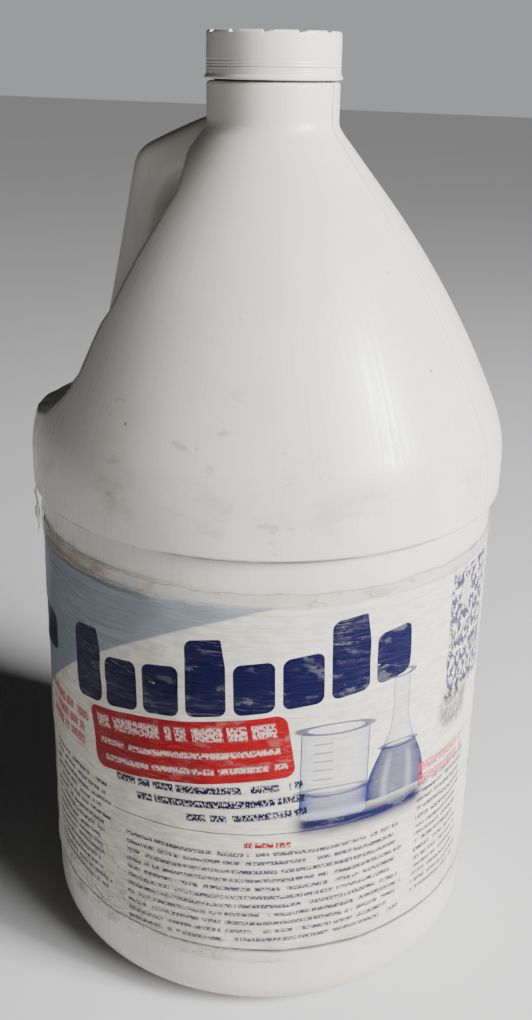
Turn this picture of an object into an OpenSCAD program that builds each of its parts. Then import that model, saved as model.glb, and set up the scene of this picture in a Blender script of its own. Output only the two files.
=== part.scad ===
// Round one-gallon jug with a side handle, a screw cap and a taped wrap label.
// Origin: centre of the base, on the surface the jug stands on. +Z is up.
// The handle is on the -X side.

/* [Body] */
// Largest radius, at the bulge above the label panel
bulge_r = 76.2; // [74:0.1:80]
// Radius of the label panel at its top
panel_top_r = 73.8; // [72:0.1:74.5]
// Radius of the label panel at its bottom
panel_low_r = 75.2; // [73.5:0.1:76]
// Height of the step between the label panel and the bulge
step_z = 165; // [160:0.5:168]
// Thickness of the moulded wall
wall = 1.2; // [1:0.1:1.6]
// Radius of the rounded edge round the base
heel_r = 14; // [10:0.5:16]
// How far the middle of the base is pushed up
base_rise = 6; // [3:0.5:9]

/* [Shoulder] */
// Radius of the curve that turns the bulge in towards the shoulder
bulge_curve_r = 40; // [36:1:44]
// Slope of the shoulder where that curve ends, from vertical
curve_slope = 23; // [20:0.5:25]
// Slope of the straight cone under the neck, from vertical
cone_slope = 38.5; // [37.5:0.5:39]

/* [Neck] */
// Height of the shoulder's upper end, where the collar starts
neck_z = 272; // [270:0.5:274]
// Radius of the collar
collar_r = 19.7; // [19.5:0.1:20]
// Height of the ledge on top of the collar
ledge_z = 284.4; // [284:0.1:284.8]
// Radius of the neck under its thread
finish_r = 17.3; // [17.1:0.05:17.4]
// Radius over the neck's thread
thread_r = 18.5; // [18.3:0.05:18.5]
// Rise of the thread in one turn, six turns to the inch
pitch = 4.233; // [4:0.001:4.3]
// Turns of thread on the neck
thread_turns = 1.05; // [0.9:0.05:1.1]
// Radius of the mouth
mouth_r = 15.6; // [14.5:0.1:15.7]
// Height of the rim that the liner seals
rim_z = 295; // [294.9:0.1:295.2]

/* [Cap] */
// Outer radius of the cap's skirt
cap_r = 19.8; // [19.7:0.1:20.2]
// Thickness of the cap's flat top
cap_top_t = 1; // [1:0.1:1.3]
// Number of raised lobes round the top edge
lobes = 12; // [10:1:16]
// How far the lobes stand above the flat top
lobe_rise = 0.9; // [0.6:0.1:1.2]
// Height of the slit between the cap and its tamper band
slit_z = 288.1; // [288:0.05:288.3]
// Width of that slit
slit_w = 0.3; // [0.2:0.05:0.4]

/* [Handle] */
// Width of the handle across the jug
handle_w = 21; // [18:0.5:24]
// Radius of the hollow that leaves room for the fingers
pocket_r = 150; // [130:5:170]

/* [Label and tape] */
// Lower edge of the wrap label
label_low_z = 27; // [25:0.5:30]
// Height of the wrap label
label_h = 122.5; // [118:0.5:124]
// Thickness of the wrap label
label_t = 0.2; // [0.15:0.05:0.2]
// Lower edge of the lowest turn of tape
tape_low_z = 23; // [21:0.5:24]
// Width of the tape
tape_w = 48; // [46:0.5:48]
// Rise from one turn of tape to the next
tape_step = 43; // [42:0.5:43]
// Thickness of the tape
tape_t = 0.12; // [0.1:0.01:0.12]

/* [Hidden] */
$fn = 96;

far = 200; // reaches past the jug on every side
weld = 0.4; // how deep an added shape sinks into the wall it grows from
over = 0.01; // how far a cutter reaches past the face it cuts
skin_gap = 0.05; // room between two skins wound on each other
steps = 8; // straight runs in one rounded stretch of an outline

// Body
foot_r = 54; // inner edge of the ring the jug stands on
step_rise = 1.8; // height of the rounded step under the bulge
bulge_z = step_z + 8.5; // height of the widest ring
dome_r = (foot_r * foot_r + base_rise * base_rise) / (2 * base_rise);

// Shoulder: a short curve, a long curve and a straight cone up to the collar
curve_top = [bulge_r - bulge_curve_r * (1 - cos(curve_slope)),
             bulge_z + bulge_curve_r * sin(curve_slope)];
// The long curve's radius is what brings the cone to the collar
long_turn = [cos(curve_slope) - cos(cone_slope), sin(cone_slope) - sin(curve_slope)];
long_r = (curve_top[0] - collar_r - (neck_z - curve_top[1]) * tan(cone_slope))
         / (long_turn[0] - long_turn[1] * tan(cone_slope));
long_centre = curve_top - long_r * [cos(curve_slope), sin(curve_slope)];

// Neck
bore_low_z = ledge_z - wall; // the straight mouth starts here, and the neck is wider below it
bead_z = ledge_z + 2.5; // the bead that keeps the tamper band on the neck
bead_r = thread_r + 0.25;
bead_h = 2.3;
collar_edge_r = 1; // rounding of the collar's upper edge
rim_edge = 0.5; // bevel of the rim
thread_low_z = slit_z + 1.3;
thread_base = 1.8; // axial width of the ridge where it leaves the wall
thread_crest = 0.9; // axial width of the ridge at its top
facets = 36; // straight runs in one turn of thread
thread_fade = 3; // facets over which the end of a thread fades
thread_end = 0.35; // share of a thread's height left at its very end

// Cap and band
cap_low_z = slit_z + slit_w;
cap_inner_r = thread_r + 0.35;
cap_crest_r = finish_r + 0.4;
liner_t = 0.8;
liner_gap = 0.15; // room above and below the liner
liner_r = cap_crest_r - 0.25;
cap_inner_z = rim_z + liner_t + 2 * liner_gap;
cap_flat_z = cap_inner_z + cap_top_t;
cap_top_z = cap_flat_z + lobe_rise;
lobe_reach = 1.4; // how far in from the edge a lobe goes
lobe_phase = 20.2; // turns the lobes round the axis
lobe_drop = lobe_rise - 0.1; // height of a lobe's steep end
lobe_slope = 0.35; // share of a lobe's span that its slope takes
band_low_z = ledge_z + 0.6;
band_inner_r = bead_r + 0.3;
band_rib_r = bead_r - 0.75;
band_rib_h = 1.3;
band_flare = 0.6;

// Handle, as [x, z] in the plane through the jug's axis
handle_back = [[-14, 277], [-26, 272.5], [-38, 267.5], [-44.5, 264], [-47.5, 257],
               [-59, 212.5], [-62.5, 198], [-67, 187], [-69, 176]];
handle_front = [[-40, 176], [-46, 192], [-45.5, 200], [-43, 212], [-34.5, 247],
                [-29.5, 255], [-22, 258.5], [-8, 262]];
handle_round = 3; // radius of the handle's bends
pocket_top = [-11, 257];
pocket_low = [-22.4, 190];
pocket_lean = atan((pocket_top[0] - pocket_low[0]) / (pocket_top[1] - pocket_low[1]));
// The pocket stops against the shoulder above and the bulge below
pocket_limit = [[-24, 268], [-17, 261], [-12, 250], [0, 240], [0, 222], [-20, 214], [-30, 205],
                [-35, 198], [-43, 191], [-54, 187.5], [-far, 165], [-far, 268]];

// Tape: the flap that has come away, on the handle's side of the label
flap_start = 222; // angle round the axis where it leaves the turn below
flap_angle = 17; // how far round it reaches
flap_low_z = 142;
flap_h = 20;
flap_shift = 5.4; // how far the centre of its arc lies off the axis
flap_foot = 3; // angle of the stretch that is still stuck down
flap_foot_t = 1; // thickness of that stretch
flap_grip = 0.2; // how deep that stretch sinks into its turn

function arc(centre, r, from, to) =
    [for (i = [0:steps]) centre + r * [cos(from + (to - from) * i / steps),
                                       sin(from + (to - from) * i / steps)]];

// Radius of the tapered label panel at height z
function panel_r(z) =
    panel_low_r + (panel_top_r - panel_low_r) * (z - heel_r) / (step_z - heel_r);

// Half outline of the solid jug, from the middle of the base up to the rim
function jug_outline() = concat(
    arc([0, base_rise - dome_r], dome_r, 90, 90 - asin(foot_r / dome_r)),
    arc([panel_low_r - heel_r, heel_r], heel_r, -90, 0),
    [[panel_top_r, step_z - step_rise]],
    arc([bulge_r - step_rise, step_z], step_rise, -90, 0),
    arc([bulge_r - bulge_curve_r, bulge_z], bulge_curve_r, 0, curve_slope),
    arc(long_centre, long_r, curve_slope, cone_slope),
    [[collar_r, neck_z]],
    arc([collar_r - collar_edge_r, ledge_z - collar_edge_r], collar_edge_r, 0, 90),
    [[finish_r, ledge_z]],
    [[finish_r, bead_z], [bead_r, bead_z + 0.5], [bead_r, bead_z + 1], [finish_r, bead_z + bead_h]],
    [[finish_r, rim_z - rim_edge], [finish_r - rim_edge, rim_z], [0, rim_z]]);

module jug_half(inset = 0) {
    intersection() {
        offset(delta = -inset) {
            polygon(jug_outline());
            mirror([1, 0]) polygon(jug_outline());
        }
        translate([0, -1]) square([far, 2 * far]);
    }
}

// Stands an [x, z] outline up and gives it a width across the jug
module upright(width) {
    rotate([90, 0, 0]) linear_extrude(width, center = true) children();
}

// Space cut out of the shoulder for the fingers; grow widens it on every side
module finger_pocket(grow = 0) {
    intersection() {
        translate([pocket_top[0], 0, pocket_top[1]])
            rotate([0, pocket_lean, 0])
                translate([-pocket_r, 0, -far])
                    cylinder(r = pocket_r + grow, h = 2 * far, $fn = 180);
        upright(2 * far) offset(delta = grow) polygon(pocket_limit);
    }
}

module handle_bar(inset = 0) {
    upright(handle_w - 2 * inset)
        offset(delta = -inset) offset(r = handle_round) offset(delta = -handle_round)
            polygon(concat(handle_back, handle_front));
}

// One ring of a thread ridge: root and crest radii, and how much of its height is left
function ridge_ring(angle, z, root, crest, part) =
    let (top = root + (crest - root) * part)
    [for (p = [[root, -thread_base / 2], [top, -thread_crest / 2],
               [top, thread_crest / 2], [root, thread_base / 2]])
        [p[0] * cos(angle), p[0] * sin(angle), z + p[1]]];

// A helical ridge whose two ends fade into the wall
module thread_ridge(root, crest, low_z, turns, start) {
    count = ceil(turns * facets);
    rings = [for (i = [0:count])
        ridge_ring(start + 360 * i / facets, low_z + pitch * i / facets, root, crest,
                   max(thread_end, min(1, i / thread_fade, (count - i) / thread_fade)))];
    sides = [for (i = [0:count - 1]) for (j = [0:3])
        let (a = 4 * i + j, b = 4 * i + (j + 1) % 4)
        [a, b, b + 4, a + 4]];
    ends = [[3, 2, 1, 0], [for (j = [0:3]) 4 * count + j]];
    faces = concat(sides, ends);
    // A ridge that points inwards has its faces wound the other way round
    polyhedron(points = [for (ring = rings) for (p = ring) p],
               faces = crest > root ? faces : [for (f = faces) [for (k = [len(f) - 1:-1:0]) f[k]]],
               convexity = 4);
}

module bottle() {
    color([0.88, 0.87, 0.84]) {
        difference() {
            union() {
                difference() {
                    rotate_extrude() jug_half();
                    finger_pocket();
                }
                handle_bar();
                thread_ridge(finish_r - weld, thread_r, thread_low_z, thread_turns, 0);
            }
            difference() {
                rotate_extrude() intersection() {
                    jug_half(wall);
                    square([far, bore_low_z]);
                }
                finger_pocket(wall);
            }
            handle_bar(wall);
            translate([0, 0, bore_low_z - weld]) cylinder(r = mouth_r, h = far);
        }
    }
}

module cap() {
    color([0.9, 0.89, 0.87]) difference() {
        union() {
            difference() {
                translate([0, 0, cap_low_z]) cylinder(r = cap_r, h = cap_top_z - cap_low_z);
                translate([0, 0, cap_low_z - 1])
                    cylinder(r = cap_inner_r, h = cap_inner_z - cap_low_z + 1);
            }
            thread_ridge(cap_inner_r + weld, cap_crest_r, thread_low_z + pitch / 2,
                         thread_turns - 0.25, 0);
        }
        translate([0, 0, cap_flat_z]) cylinder(r = cap_r - lobe_reach, h = lobe_rise + 1);
        for (i = [0:lobes - 1])
            rotate(lobe_phase + i * 360 / lobes) lobe_cut();
    }
}

// A wedge that slopes down to one side, so what is left between two cuts is a ratchet lobe
module lobe_cut() {
    span = cap_r * sin(360 / lobes);
    translate([cap_r - 2 * lobe_reach, 0, cap_top_z])
        rotate([90, 0, 90]) linear_extrude(3 * lobe_reach)
            polygon([[0, over], [0, -lobe_drop], [span * lobe_slope, over]]);
}

module cap_liner() {
    color([0.93, 0.92, 0.9])
        translate([0, 0, rim_z + liner_gap]) cylinder(r = liner_r, h = liner_t);
}

module tamper_band() {
    color([0.9, 0.89, 0.87]) rotate_extrude()
        polygon([[band_rib_r, band_low_z], [cap_r + band_flare, band_low_z],
                 [cap_r + band_flare, band_low_z + 0.8], [cap_r, band_low_z + 1.6], [cap_r, slit_z],
                 [band_inner_r, slit_z], [band_inner_r, band_low_z + band_rib_h + 0.6],
                 [band_rib_r, band_low_z + band_rib_h]]);
}

// A skin wound round the label panel, standing off from it by lift
module wound_skin(low_z, height, lift, thickness) {
    inner = panel_r(low_z) + lift;
    inner_top = panel_r(low_z + height) + lift;
    rotate_extrude()
        polygon([[inner, low_z], [inner + thickness, low_z],
                 [inner_top + thickness, low_z + height], [inner_top, low_z + height]]);
}

module label() {
    color([0.86, 0.84, 0.8]) wound_skin(label_low_z, label_h, skin_gap, label_t);
}

// Turn number 0 is the lowest; each later turn lies over the edge of the one below it
module tape_turn(number) {
    color([0.9, 0.88, 0.82, 0.3])
        wound_skin(tape_low_z + number * tape_step, tape_w,
                   2 * skin_gap + label_t + number * (tape_t + skin_gap), tape_t);
}

module tape_lower() {
    tape_turn(0);
}

module tape_middle() {
    tape_turn(1);
}

module tape_upper() {
    tape_turn(2);
    tape_flap();
}

// The arc of the flap has its centre off the axis, so it stands off more as it goes round
module tape_flap() {
    turn_r = panel_r(flap_low_z) + 2 * skin_gap + label_t + 2 * (tape_t + skin_gap) + tape_t;
    color([0.9, 0.88, 0.82, 0.3]) translate([0, 0, flap_low_z]) rotate(flap_start) {
        rotate(-flap_foot) rotate_extrude(angle = flap_foot)
            translate([turn_r - flap_grip, 0]) square([flap_foot_t, flap_h]);
        translate([0, -flap_shift, 0]) rotate(-flap_angle) rotate_extrude(angle = flap_angle - 1)
            translate([turn_r + skin_gap, 0]) square([tape_t, flap_h]);
    }
}

bottle();
cap();
cap_liner();
tamper_band();
label();
tape_lower();
tape_middle();
tape_upper();
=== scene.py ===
"""Looks of a round one-gallon jug with a side handle, a screw cap and a taped wrap label.

Shapes are worked out in millimetres and stored in metres. Angles round the jug's axis are
measured from +X towards +Y. The handle is on the -X side and the label faces LABEL_FACING.
"""

import math

import bpy
import numpy as np
from mathutils import Matrix, Vector


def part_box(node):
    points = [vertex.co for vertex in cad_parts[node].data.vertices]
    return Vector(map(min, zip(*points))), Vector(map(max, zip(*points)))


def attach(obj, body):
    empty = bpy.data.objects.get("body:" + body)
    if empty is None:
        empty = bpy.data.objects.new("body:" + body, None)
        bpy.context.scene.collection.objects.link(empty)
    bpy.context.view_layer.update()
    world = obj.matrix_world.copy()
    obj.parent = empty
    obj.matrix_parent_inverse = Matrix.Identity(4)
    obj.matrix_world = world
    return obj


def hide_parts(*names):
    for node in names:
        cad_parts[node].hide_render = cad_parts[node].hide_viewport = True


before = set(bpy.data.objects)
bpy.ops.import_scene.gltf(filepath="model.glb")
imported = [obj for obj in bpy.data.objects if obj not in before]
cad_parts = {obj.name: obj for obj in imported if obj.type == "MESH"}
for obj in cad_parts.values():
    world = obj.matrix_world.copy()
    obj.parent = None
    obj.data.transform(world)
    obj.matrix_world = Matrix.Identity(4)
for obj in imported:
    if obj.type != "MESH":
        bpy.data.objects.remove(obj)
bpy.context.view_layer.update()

MM = 0.001  # metres in a millimetre
FULL_TURN = 2 * math.pi


def box_mm(node):
    """Lowest and highest corner of a CAD node, in millimetres."""
    low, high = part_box(node)
    return np.array(low) / MM, np.array(high) / MM


# Jug
BULGE_R = box_mm("bottle")[1][0]
RIM_Z = box_mm("bottle")[1][2]
PANEL_TOP_R = 73.8
PANEL_LOW_R = 75.2
STEP_Z = 165.0  # the step between the label panel and the bulge
STEP_RISE = 1.8
WALL = 1.2
HEEL_R = 14.0
BASE_RISE = 6.0
FOOT_R = 54.0
BULGE_Z = STEP_Z + 8.5
BULGE_CURVE_R = 40.0
CURVE_SLOPE = 23.0
CONE_SLOPE = 38.5
NECK_Z = 272.0
COLLAR_R = 19.7
LEDGE_Z = 284.4
BEAD_Z = LEDGE_Z + 2.5
BEAD_R = 18.75
FINISH_R = 17.3
THREAD_R = 18.5
THREAD_LOW_Z = 289.4
THREAD_PITCH = 4.233
THREAD_TURNS = 1.05
THREAD_FADE = 0.06  # share of a turn over which the thread starts and ends
MOUTH_R = 15.6
POCKET_CURVE_R = 148.0  # radius, seen from above, of the wall behind the fingers
POCKET_WALL_X = 11.0  # how far behind the axis that wall is at POCKET_WALL_Z
POCKET_WALL_Z = 257.0
POCKET_LEAN = 0.17  # how much further back it is for each unit of height below that
POCKET_LOW_Z = 178.0  # the shell below this is left as it is
POCKET_END_REACH = 3.0  # rounding of the corners at the pocket's floor and ceiling
POCKET_EDGE_REACH = 1.6  # rounding of the edge where it meets the shoulder
# (height, distance behind the axis) of the finger pocket's floor and of its ceiling
POCKET_LIMIT = [(165, 200), (187.5, 54), (191, 43), (198, 35), (205, 30), (214, 20), (222, 0),
                (240, 0), (250, 12), (261, 17), (268, 24)]

# Cap, liner and tamper band
CAP_R = box_mm("tamper_band")[1][0] - 0.6
CAP_LOW_Z = box_mm("cap")[0][2]
CAP_TOP_Z = box_mm("cap")[1][2]
CAP_INNER_Z = box_mm("cap_liner")[1][2] + 0.15  # the liner has this much play
CAP_INNER_R = THREAD_R + 0.35
LOBES = 12
LOBE_RISE = 0.9  # how far the lobes stand above the flat top
LOBE_DROP = 0.8  # height of a lobe's steep end
LOBE_REACH = 1.4  # how far inwards a lobe reaches
LOBE_PHASE = 20.2  # angle of the first lobe
LOBE_SLOPE = 0.35  # share of a lobe's span that its slope takes

# Label and tape
LABEL_FACING = -60.0  # angle round the axis that the middle of the label faces
LABEL_R = 75.0  # radius on which distances along the label are measured
SKIN_GAP = 0.05
LABEL_T = 0.2
TAPE_T = 0.12
TAPE_TURNS = ("tape_lower", "tape_middle", "tape_upper")


# ---------------------------------------------------------------- surfaces

def srgb(red, green, blue):
    """Linear colour of an 8-bit screen colour."""
    share = np.array([red, green, blue]) / 255
    linear = np.where(share <= 0.04045, share / 12.92, ((share + 0.055) / 1.055) ** 2.4)
    return (*linear.tolist(), 1.0)


def ramp(value, low, high):
    """0 below low, 1 above high and a smooth 3t^2 - 2t^3 between them."""
    t = np.clip((value - low) / (high - low), 0, 1)
    return t * t * (3 - 2 * t)


def soft_min(a, b, reach):
    """Smaller of a and b, with the corner rounded where they differ by less than reach."""
    share = np.clip(0.5 + 0.5 * (b - a) / reach, 0, 1)
    return b + (a - b) * share - reach * share * (1 - share)


def soft_max(a, b, reach):
    """Larger of a and b, with the corner rounded in the same way."""
    return -soft_min(-a, -b, reach)


def arc(centre, radius, start, end, count):
    """Points centre + radius * (cos t, sin t), with t going from start to end in degrees."""
    turn = np.radians(np.linspace(start, end, count))
    return np.column_stack([centre[0] + radius * np.cos(turn),
                            centre[1] + radius * np.sin(turn)])


def run(start, end, count):
    """Evenly spaced points on a straight line, both ends included."""
    share = np.linspace(0, 1, count)[:, None]
    return np.array(start) * (1 - share) + np.array(end) * share


def all_round(columns):
    """A row of evenly spaced angles of a full turn."""
    return np.linspace(0, FULL_TURN, columns, endpoint=False)[None, :]


def revolve(radius, height, angle):
    """Points (r cos a, r sin a, z) for arrays of radius, height and angle."""
    x = radius * np.cos(angle)
    return np.stack([x, radius * np.sin(angle), np.broadcast_to(height, x.shape)], axis=-1)


def smooth_path(points, count):
    """Catmull-Rom curve through the points, sampled evenly in its parameter."""
    points = np.array(points, float)
    ends = np.vstack([2 * points[0] - points[1], points, 2 * points[-1] - points[-2]])
    place = np.linspace(0, len(points) - 1, count)
    first = np.minimum(place.astype(int), len(points) - 2)
    t = (place - first)[:, None]
    a, b, c, d = (ends[first + k] for k in range(4))
    return 0.5 * (2 * b + (c - a) * t + (2 * a - 5 * b + 4 * c - d) * t ** 2
                  + (3 * b - a - 3 * c + d) * t ** 3)


def grid_faces(rows, columns, ring=True):
    """Quads between neighbouring rows of a grid whose columns close into a ring."""
    index = np.arange(rows * columns).reshape(rows, columns)
    a = index[:-1]
    b = index[1:]
    quads = np.stack([a, np.roll(a, -1, 1), np.roll(b, -1, 1), b], axis=-1)
    if not ring:
        quads = quads[:, :-1]
    return quads.reshape(-1, 4)


def halves(quads):
    """The two triangles of each quad."""
    return np.concatenate([quads[:, [0, 1, 2]], quads[:, [0, 2, 3]]])


def inside_out(vertices, triangles):
    """True where the triangles enclose a negative volume, which is the sum of a . (b x c)."""
    a, b, c = (vertices[triangles[:, corner]] for corner in range(3))
    return np.einsum("ij,ij->i", a, np.cross(b, c)).sum() < 0


def closed_ring_grid(grid):
    """Vertices and faces of rows of rings, closed with a fan of triangles at each end."""
    rows, columns = grid.shape[:2]
    vertices = np.concatenate([grid.reshape(-1, 3), grid[:1].mean(1), grid[-1:].mean(1)])
    quads = grid_faces(rows, columns)
    around = np.arange(columns)
    after = np.roll(around, -1)
    first, last = rows * columns, rows * columns + 1
    base = (rows - 1) * columns
    fans = np.concatenate([
        np.stack([after, around, np.full(columns, first)], axis=-1),
        np.stack([base + around, base + after, np.full(columns, last)], axis=-1)])
    faces = quads.tolist() + fans.tolist()
    if inside_out(vertices, np.concatenate([halves(quads), fans])):
        faces = [face[::-1] for face in faces]
    return vertices, faces


def closed_band_grid(grid):
    """Vertices and faces of rings whose last row joins the first, as round a washer."""
    rows, columns = grid.shape[:2]
    vertices = grid.reshape(-1, 3)
    quads = grid_faces(rows + 1, columns) % (rows * columns)
    if inside_out(vertices, halves(quads)):
        quads = quads[:, ::-1]
    return vertices, quads.tolist()


def thin_sheet(inside, outside):
    """Closed sheet between two grids of the same shape, with walls along its four edges."""
    rows, columns = inside.shape[:2]
    count = rows * columns
    vertices = np.concatenate([inside.reshape(-1, 3), outside.reshape(-1, 3)])
    quads = grid_faces(rows, columns, ring=False)
    index = np.arange(count).reshape(rows, columns)
    edge = np.concatenate([index[0], index[1:, -1], index[-1, -2::-1], index[-2:0:-1, 0]])
    after = np.roll(edge, -1)
    walls = np.stack([edge, edge + count, after + count, after], axis=-1)
    faces = np.concatenate([quads, quads[:, ::-1] + count, walls])
    if inside_out(vertices, halves(faces)):
        faces = faces[:, ::-1]
    return vertices, faces.tolist()


def make_piece(name, parts, finish, body, slot, *nodes):
    """One object from closed parts in millimetres, placed by its mesh and riding on a body."""
    vertices, faces, count = [], [], 0
    for points, part_faces in parts:
        vertices.append(points)
        faces += [[corner + count for corner in face] for face in part_faces]
        count += len(points)
    mesh = bpy.data.meshes.new(name)
    mesh.from_pydata((np.concatenate(vertices) * MM).tolist(), [], faces)
    mesh.materials.append(finish)
    mesh.shade_smooth()
    mesh.update()
    piece = bpy.data.objects.new(name, mesh)
    bpy.context.scene.collection.objects.link(piece)
    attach(piece, body)
    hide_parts(*nodes)
    return piece


# ---------------------------------------------------------------- jug

def panel_r(height):
    """Radius of the tapered label panel."""
    return PANEL_LOW_R + (PANEL_TOP_R - PANEL_LOW_R) * (height - HEEL_R) / (STEP_Z - HEEL_R)


def shoulder_points():
    """A 40 mm curve at the bulge, a long curve that flattens, and a cone up to the collar."""
    curve, cone = math.radians(CURVE_SLOPE), math.radians(CONE_SLOPE)
    low_r = BULGE_R - BULGE_CURVE_R * (1 - math.cos(curve))
    low_z = BULGE_Z + BULGE_CURVE_R * math.sin(curve)
    along = (math.cos(curve) - math.cos(cone), math.sin(cone) - math.sin(curve))
    long_r = ((low_r - COLLAR_R - (NECK_Z - low_z) * math.tan(cone))
              / (along[0] - along[1] * math.tan(cone)))
    centre = (low_r - long_r * math.cos(curve), low_z - long_r * math.sin(curve))
    long_arc = arc(centre, long_r, CURVE_SLOPE, CONE_SLOPE, 60)
    return np.concatenate([
        arc((BULGE_R - BULGE_CURVE_R, BULGE_Z), BULGE_CURVE_R, 0, CURVE_SLOPE, 16)[:-1],
        long_arc[:-1],
        run(long_arc[-1], (COLLAR_R + 1.4, NECK_Z - 1.8), 30),
        run((COLLAR_R + 0.4, NECK_Z - 0.2), (COLLAR_R, NECK_Z + 1.2), 2)])


def outside_outline():
    """(radius, height) of the jug's outside, from near the middle of the base to the rim."""
    dome_r = (FOOT_R ** 2 + BASE_RISE ** 2) / (2 * BASE_RISE)
    dome_edge = 90 - math.degrees(math.asin(FOOT_R / dome_r))
    return np.concatenate([
        arc((0, BASE_RISE - dome_r), dome_r, 89.8, dome_edge, 12)[:-1],
        arc((PANEL_LOW_R - HEEL_R, HEEL_R), HEEL_R, -90, 0, 14),
        run((panel_r(HEEL_R + 4), HEEL_R + 4), (PANEL_TOP_R, STEP_Z - STEP_RISE - 0.4), 36),
        arc((PANEL_TOP_R + 0.5, STEP_Z - STEP_RISE + 0.5), 0.5, 180, 100, 4),
        arc((BULGE_R - STEP_RISE, STEP_Z), STEP_RISE, -60, 0, 7),
        shoulder_points(),
        run((COLLAR_R, NECK_Z + 2.5), (COLLAR_R, LEDGE_Z - 1.2), 6),
        arc((COLLAR_R - 1, LEDGE_Z - 1), 1, 0, 90, 7),
        run((COLLAR_R - 1.6, LEDGE_Z), (FINISH_R, LEDGE_Z), 3),
        run((FINISH_R, BEAD_Z), (BEAD_R, BEAD_Z + 0.5), 3),
        run((BEAD_R, BEAD_Z + 1), (FINISH_R, BEAD_Z + 2.3), 3),
        run((FINISH_R, BEAD_Z + 2.6), (FINISH_R, RIM_Z - 0.5), 26),
        arc((FINISH_R - 0.5, RIM_Z - 0.5), 0.5, 0, 90, 4)])


def inside_outline():
    """(radius, height) of the inside, from the rim down the bore to the middle of the floor."""
    shoulder = shoulder_points()[::-3]
    floor_r = PANEL_LOW_R - HEEL_R
    return np.concatenate([
        arc((MOUTH_R + 0.4, RIM_Z - 0.4), 0.4, 90, 180, 4),
        run((MOUTH_R, RIM_Z - 1.5), (MOUTH_R, LEDGE_Z - 2), 6),
        run((COLLAR_R - WALL - 0.4, LEDGE_Z - 4), (COLLAR_R - WALL, NECK_Z + 1), 4),
        shoulder[1:] - [WALL * 1.25, 0],
        run((PANEL_TOP_R - WALL, STEP_Z - 4), (PANEL_LOW_R - WALL, HEEL_R + 2), 14),
        arc((floor_r, HEEL_R), HEEL_R - WALL, 0, -90, 10),
        run((FOOT_R - 2, WALL + 0.3), (0.2, BASE_RISE + WALL), 10)])


def hollowed_for_fingers(radius, height, angle, inset=0.0):
    """Radius after the finger pocket has been pressed into the shoulder.

    Seen from above the pocket's wall is a wide arc, -x = lean(z) + y^2 / (2 R), so on a ray at
    this angle it is the smaller root of a quadratic. POCKET_LIMIT bounds it below and above.
    """
    behind = np.maximum(-np.cos(angle), 1e-3)
    wall_x = POCKET_WALL_X + (POCKET_WALL_Z - height) * POCKET_LEAN
    curve = np.sin(angle) ** 2 / (2 * POCKET_CURVE_R)
    under_root = np.maximum(behind ** 2 - 4 * curve * wall_x, 0)
    wall = np.where(curve > 1e-9,
                    (behind - np.sqrt(under_root)) / np.maximum(2 * curve, 1e-9),
                    wall_x / behind)
    wall = np.where(under_root <= 0, 10 * BULGE_R, wall)
    limit_z, limit_x = zip(*POCKET_LIMIT)
    limit = np.interp(height, limit_z, limit_x) / behind
    pocket = soft_max(wall, limit, POCKET_END_REACH)
    pressed = soft_min(radius, pocket - inset, POCKET_EDGE_REACH)
    in_reach = (height > POCKET_LOW_Z) & (height < NECK_Z) & (behind > 0.02)
    return np.where(in_reach, pressed, radius)


def thread_lift(height, angle):
    """How far the thread stands out: a ridge that climbs one pitch a turn and fades at its ends."""
    lift = np.zeros(np.broadcast(height, angle).shape)
    turn = np.mod(angle, FULL_TURN) / FULL_TURN
    for lap in range(math.ceil(THREAD_TURNS)):
        travelled = turn + lap
        off_centre = np.abs(height - THREAD_LOW_Z - THREAD_PITCH * travelled)
        ridge = np.clip((0.95 - off_centre) / 0.45, 0, 1)
        fade = (ramp(travelled, 0, THREAD_FADE)
                * (1 - ramp(travelled, THREAD_TURNS - THREAD_FADE, THREAD_TURNS)))
        lift = np.maximum(lift, ridge * fade)
    return lift * (THREAD_R - FINISH_R)


def jug_shell(columns=240):
    """Rings of the outside outline and then of the inside one, closed in the base's middle."""
    angle = all_round(columns)
    outer = outside_outline()
    inner = inside_outline()
    outer_r = hollowed_for_fingers(outer[:, :1], outer[:, 1:], angle)
    on_finish = (outer[:, 1:] > BEAD_Z + 2.4) & (outer[:, :1] > FINISH_R - 0.1)
    outer_r = outer_r + np.where(on_finish, thread_lift(outer[:, 1:], angle), 0)
    inner_r = hollowed_for_fingers(inner[:, :1], inner[:, 1:], angle, inset=WALL * 1.4)
    return closed_ring_grid(np.concatenate([revolve(outer_r, outer[:, 1:], angle),
                                            revolve(inner_r, inner[:, 1:], angle)]))


# Pairs of points of the handle in the plane y = 0, as (x, z) on its back and on its front
HANDLE_BACK = [(-16, 276), (-26, 272.4), (-38, 267.5), (-43.6, 264.7), (-46.6, 261), (-48.4, 254),
               (-53, 235.5), (-59, 212.5), (-62.5, 198), (-67, 187), (-69, 177), (-69, 170)]
HANDLE_FRONT = [(-9, 262.5), (-16, 260.2), (-23, 257.8), (-28.4, 255), (-31.8, 251.5), (-34.8, 245),
                (-38.8, 229.5), (-43, 211.5), (-45.3, 201), (-45.5, 193), (-42, 184), (-38, 176)]
HANDLE_W = 20.0
HANDLE_FLARE = 9.0  # how much wider the handle is where it meets the bulge


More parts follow.
